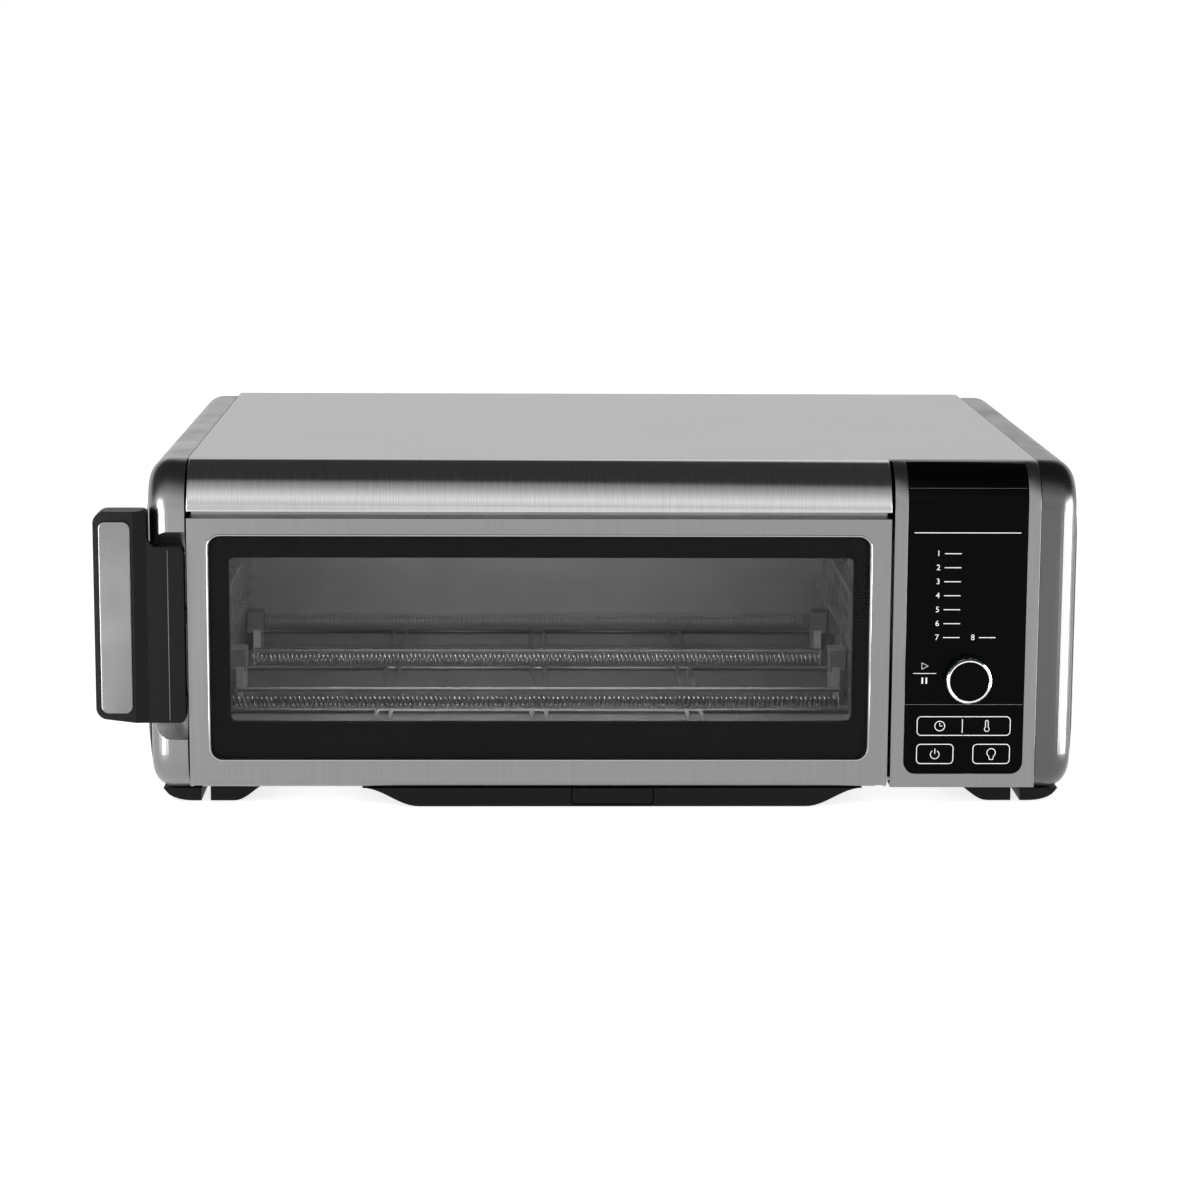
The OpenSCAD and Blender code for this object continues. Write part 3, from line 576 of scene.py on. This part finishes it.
def print_strip(paints):
    """Numbered modes with a tick each, a rule above them, and start and pause symbols."""
    white = paints["white_print"]
    rows = [(MODE_X, MODE_TOP - MODE_STEP * i) for i in range(MODE_ROWS)]
    rows.append((SECOND_X, rows[-1][1]))
    lines = [stroke([(x, RULE_Z) for x in RULE_X], BROAD_LINE, False, on_lens),
             stroke([(x, START_Z) for x in START_X], 0.35, False, on_lens)]
    for number, (x, z) in enumerate(rows, 1):
        numeral("mode_" + str(number), number, x, z, white)
        tick = [(x + TICK_GAP, z), (x + TICK_GAP + TICK, z)]
        lines.append(stroke(tick, BROAD_LINE, False, on_lens))
    lines += play_icon(169.6, START_Z + 4.1, BROAD_LINE, on_lens)
    lines += pause_icon(169.6, START_Z - 4.0, BROAD_LINE, on_lens)
    add_mesh("strip_lines", *merge_parts(lines), white, "cabinet", "black_print", False)
    dark = paints["grey_sheet"]
    seams = [stroke([(x, z) for x in SEAM_X], 0.16, False, on_lens, 0.02) for z in SEAM_Z]
    add_mesh("lens_seams", *merge_parts(seams), dark, "cabinet", "gloss_black", False)


def print_keys(paints):
    """The outlines and symbols of the four keys."""
    white = paints["white_print"]
    line = LINE
    z0, z1 = 41.1, 51.5
    left, right = KEYS_X
    middle = 191.4
    r = KEY_ROUND
    half_left = ([(middle - 0.15, z1)] + arc(left + r, z1 - r, r, 90, 180, 8)
                 + arc(left + r, z0 + r, r, 180, 270, 8) + [(middle - 0.15, z0)])
    half_right = ([(middle + 0.15, z0)] + arc(right - r, z0 + r, r, 270, 360, 8)
                  + arc(right - r, z1 - r, r, 0, 90, 8) + [(middle + 0.15, z1)])
    divider = [(middle - 0.45, z0 + 1.4), (middle - 0.45, z1 - 1.4)]
    add_mesh("time_outline", *merge_parts([stroke(half_left, line, False, on_key),
             stroke(divider, line, False, on_key)]), white, "time_key", "black_print", False)
    add_mesh("temp_outline", *stroke(half_right, line, False, on_key), white, "temp_key",
             "black_print", False)
    add_mesh("time_symbol", *merge_parts(clock_icon(178.6, 46.3, line)), white, "time_key",
             "black_print", False)
    add_mesh("temp_symbol", *merge_parts(thermometer_icon(204.4, 46.3, line)), white, "temp_key",
             "black_print", False)
    for name, x0, x1 in (("power", 166.2, 186.2), ("light", 197.1, 217.2)):
        outline = stroke(rounded_loop(x0, x1, 25.3, 36.1, r), line, True, on_key)
        parts = [outline] + ICONS[name]((x0 + x1) / 2, 30.7, line)
        add_mesh(name + "_print", *merge_parts(parts), white, name + "_key", "black_print",
                 False)


def clock_icon(x, z, line):
    """A round dial with two hands."""
    return [stroke(arc(x, z, 2.7, 0, 345, 23), line, True, on_key),
            stroke([(x, z + 1.8), (x, z), (x + 1.4, z)], line, False, on_key)]


def thermometer_icon(x, z, line):
    """A stem with a round top, standing on a bulb."""
    return [stroke(arc(x, z - 1.7, 1.3, -235, 55, 18) + arc(x, z + 2.4, 0.75, 0, 180, 8),
                   line, True, on_key)]


def power_icon(x, z, line):
    ring = arc(x, z - 0.3, 2.4, 125, 415, 24)
    return [stroke(ring, line, False, on_key),
            stroke([(x, z), (x, z + 3.0)], line, False, on_key)]


def bulb_icon(x, z, line):
    globe = arc(x, z + 0.7, 2.3, -55, 235, 24)
    neck = [(x - 1.0, z - 2.9), globe[-1]]
    other = [globe[0], (x + 1.0, z - 2.9)]
    return [stroke(globe, line, False, on_key), stroke(neck, line, False, on_key),
            stroke(other, line, False, on_key),
            stroke([(x - 1.1, z - 3.1), (x + 1.1, z - 3.1)], line, False, on_key)]


ICONS = {"power": power_icon, "light": bulb_icon}


# ---------------------------------------------------------------- heaters

HEATER_Y = (35, 163, 287)
HEATER_Z = (53, 150)


def make_coils(paints):
    """The wire helix inside each quartz tube."""
    low, high = layout_box("heater_coils")
    radius = 2.6
    wire = 0.45
    pitch = 2.6
    steps = 10
    turns = int((high.x - low.x - 2) / pitch)
    centres = [(y, z) for y in HEATER_Y for z in HEATER_Z]
    parts = []
    for y, z in centres:
        points = [at(low.x + 1 + pitch * i / steps,
                     y + radius * math.cos(2 * math.pi * i / steps),
                     z + radius * math.sin(2 * math.pi * i / steps))
                  for i in range(turns * steps)]
        parts.append(tube(points, wire * MM, 5))
    coils = add_mesh("heater_wire", *merge_parts(parts), paints["coil_metal"], "cabinet",
                     "coil_metal")
    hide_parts("heater_coils")


# ---------------------------------------------------------------- door

def make_door_lip(paints):
    """The bright rolled lip round the black glass."""
    low, high = layout_box("door_glass_outer")
    path = rounded_loop(low.x - 0.5, high.x + 0.5, low.z - 0.5, high.z + 0.5, 7, 10)
    points = [at(x, 0.25, z) for x, z in path]
    verts, faces = tube(points, 0.6 * MM, 8, closed=True)
    add_mesh("door_lip", verts, faces, paints["bright_lip"], "door", "brushed_steel")


def make_handle_bead(paints):
    """A thin, lighter bead down the handle's arm. Its light colour is a painted highlight,
    standing in for the light line that the edge of the arm catches.
    """
    x = layout_box("door_frame")[0].x - 10.0
    points = [at(x, -3.0, z) for z in (50.2, 143.6)]
    verts, faces = tube(points, 0.28 * MM, 8)
    add_mesh("handle_highlight_bead", verts, faces, paints["handle_highlight_plastic"], "door", "black_plastic")


bpy.context.scene.view_settings.view_transform = "Standard"
make_camera()
make_world()
make_lights()
make_floor()
PAINTS = make_materials()
dress_nodes(PAINTS)
make_door_lip(PAINTS)
make_handle_bead(PAINTS)
make_coils(PAINTS)
print_strip(PAINTS)
print_keys(PAINTS)
